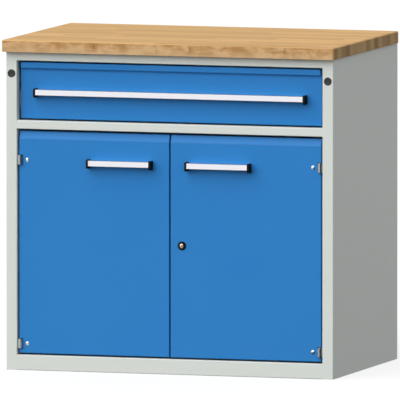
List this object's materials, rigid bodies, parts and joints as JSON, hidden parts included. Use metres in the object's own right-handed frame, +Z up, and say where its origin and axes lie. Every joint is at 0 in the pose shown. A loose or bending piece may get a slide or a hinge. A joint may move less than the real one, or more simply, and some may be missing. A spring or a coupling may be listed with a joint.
{
  "type": "counter cabinet",
  "caption": "Floor-standing counter cabinet with a thick wooden worktop, a full-width drawer on telescopic runners and a cupboard with hinged, lockable double doors.",
  "frame": {"origin": "on the floor, under the middle of the overall box", "axes": "+X to the right along the width, fronts face -Y, +Z up"},
  "size_m": [1.014, 0.67, 0.97],
  "materials": {
    "body_grey": "satin powder coat",
    "front_blue": "satin powder coat",
    "beech": "oiled beech block",
    "aluminium": "anodised",
    "label_white": "satin strip",
    "black_plastic": "fine grained",
    "nickel": "nickel plated",
    "zinc_steel": "zinc plated"
  },
  "bodies": {
    "carcass": {"back_panel": "body_grey", "base_panel": "body_grey", "bottom_rail": "body_grey", "hinge_pins": "zinc_steel", "left_hinge_frame_leaves": "zinc_steel", "left_runner_bracket": "body_grey", "left_runner_cabinet_rail": "zinc_steel", "left_side_panel": "body_grey", "middle_rail": "body_grey", "post_plugs": "black_plastic", "right_hinge_frame_leaves": "zinc_steel", "right_runner_bracket": "body_grey", "right_runner_cabinet_rail": "zinc_steel", "right_side_panel": "body_grey", "shelf": "body_grey", "shelf_clips": "zinc_steel", "shelf_uprights": "zinc_steel", "top_front_rail": "body_grey", "top_rear_rail": "body_grey", "worktop": "beech", "worktop_screws": "zinc_steel"},
    "drawer": {"drawer_floor": "body_grey", "drawer_left_side": "body_grey", "drawer_right_side": "body_grey", "drawer_front_wall": "body_grey", "drawer_back_wall": "body_grey", "drawer_front": "front_blue", "drawer_lip": "front_blue", "drawer_handle_bar": "aluminium", "drawer_handle_label": "label_white", "drawer_handle_caps": "black_plastic", "drawer_handle_screws": "zinc_steel", "left_runner_drawer_rail": "zinc_steel", "right_runner_drawer_rail": "zinc_steel"},
    "left_runner_middle": {"left_runner_middle_rail": "zinc_steel"},
    "right_runner_middle": {"right_runner_middle_rail": "zinc_steel"},
    "left_door": {"left_door_panel": "front_blue", "left_door_top_edge": "front_blue", "left_door_stiffener": "front_blue", "left_door_handle_bar": "aluminium", "left_door_handle_label": "label_white", "left_door_handle_caps": "black_plastic", "left_door_handle_screws": "zinc_steel", "left_hinge_door_leaves": "zinc_steel", "left_hinge_screws": "nickel", "left_door_bolt_guides": "zinc_steel"},
    "left_bolt": {"left_door_bolt": "zinc_steel"},
    "right_door": {"right_door_panel": "front_blue", "right_door_top_edge": "front_blue", "right_door_stiffener": "front_blue", "right_door_handle_bar": "aluminium", "right_door_handle_label": "label_white", "right_door_handle_caps": "black_plastic", "right_door_handle_screws": "zinc_steel", "right_hinge_door_leaves": "zinc_steel", "right_hinge_screws": "nickel", "lock_housing": "black_plastic", "lock_nut": "zinc_steel"},
    "lock": {"lock_plug": "nickel", "lock_cam": "zinc_steel"}
  },
  "joints": [
    {"name": "drawer_slide", "type": "slide", "parent": "carcass", "child": "drawer", "axis": [0, -1, 0], "range_m": [0, 0.5]},
    {"name": "left_runner_extend", "type": "slide", "parent": "carcass", "child": "left_runner_middle", "axis": [0, -1, 0], "range_m": [0, 0.25]},
    {"name": "right_runner_extend", "type": "slide", "parent": "carcass", "child": "right_runner_middle", "axis": [0, -1, 0], "range_m": [0, 0.25]},
    {"name": "left_door_hinge", "type": "hinge", "parent": "carcass", "child": "left_door", "pos_m": [-0.4588, -0.3106, 0.346], "axis": [0, 0, -1], "range_deg": [0, 110]},
    {"name": "right_door_hinge", "type": "hinge", "parent": "carcass", "child": "right_door", "pos_m": [0.4588, -0.3106, 0.346], "axis": [0, 0, 1], "range_deg": [0, 110]},
    {"name": "lock_turn", "type": "hinge", "parent": "right_door", "child": "lock", "pos_m": [0.037, -0.3, 0.378], "axis": [0, 1, 0], "range_deg": [0, 90]},
    {"name": "left_bolt_slide", "type": "slide", "parent": "left_door", "child": "left_bolt", "axis": [0, 0, 1], "range_m": [0, 0.013]}
  ],
  "couplings": [
    {"joint": "left_runner_extend", "follows": "drawer_slide", "ratio": 0.5},
    {"joint": "right_runner_extend", "follows": "drawer_slide", "ratio": 0.5}
  ]
}
